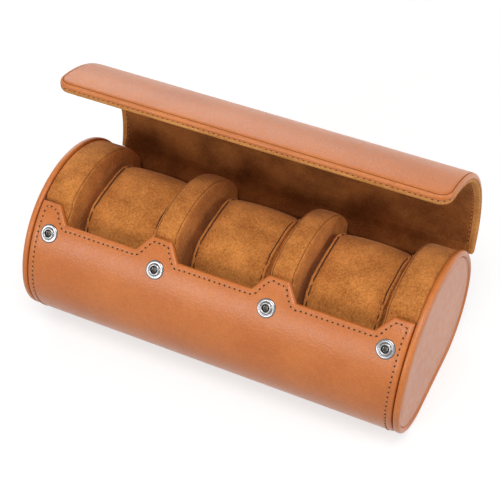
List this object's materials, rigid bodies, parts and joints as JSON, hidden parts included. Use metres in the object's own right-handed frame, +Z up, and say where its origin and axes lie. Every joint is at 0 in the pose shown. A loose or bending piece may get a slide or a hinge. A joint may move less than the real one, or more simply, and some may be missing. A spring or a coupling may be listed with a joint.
{
  "type": "watch travel case",
  "caption": "Tan leather watch roll with a D section, flat end caps, a lid on a leather hinge with snap studs, and suede cushions between dividers.",
  "frame": {"origin": "middle of the flat base, on the surface the case stands on", "axes": "+X along the case towards its right end seen from the snaps, +Y from the snaps to the hinge, +Z up"},
  "size_m": [0.2104, 0.1136, 0.1277],
  "materials": {
    "leather": "smooth tan faux leather with a fine grain, semi-gloss",
    "suede": "golden brown microsuede with a short cloudy nap",
    "board": "grey board, unseen",
    "foam": "soft foam, unseen",
    "snap_metal": "polished plated steel"
  },
  "bodies": {
    "case": {"body_leather": "leather", "body_board": "board", "body_lining": "suede", "left_cap_board": "board", "right_cap_board": "board", "left_cap_leather": "leather", "right_cap_leather": "leather", "left_cap_rim": "leather", "right_cap_rim": "leather", "left_pad_cover": "suede", "right_pad_cover": "suede", "left_pad_core": "foam", "right_pad_core": "foam", "left_divider_cover": "suede", "right_divider_cover": "suede", "left_divider_core": "foam", "right_divider_core": "foam", "snap_sockets": "snap_metal", "snap_socket_rivets": "snap_metal", "hinge_fold": "leather"},
    "lid": {"lid_leather": "leather", "lid_board": "board", "lid_lining": "suede", "snap_studs": "snap_metal", "snap_stud_rivets": "snap_metal"},
    "left_cushion": {"left_cushion_cover": "suede", "left_cushion_core": "foam"},
    "middle_cushion": {"middle_cushion_cover": "suede", "middle_cushion_core": "foam"},
    "right_cushion": {"right_cushion_cover": "suede", "right_cushion_core": "foam"}
  },
  "joints": [
    {"name": "lid_hinge", "type": "hinge", "parent": "case", "child": "lid", "pos_m": [0, 0.0469, 0.0414], "axis": [-1, 0, 0], "range_deg": [-48.4, 60]},
    {"name": "left_cushion_pull", "type": "slide", "parent": "case", "child": "left_cushion", "axis": [0, 0.0995, 0.995], "range_m": [0, 0.007]},
    {"name": "middle_cushion_pull", "type": "slide", "parent": "case", "child": "middle_cushion", "axis": [0, 0.0995, 0.995], "range_m": [0, 0.007]},
    {"name": "right_cushion_pull", "type": "slide", "parent": "case", "child": "right_cushion", "axis": [0, 0.0995, 0.995], "range_m": [0, 0.007]}
  ]
}
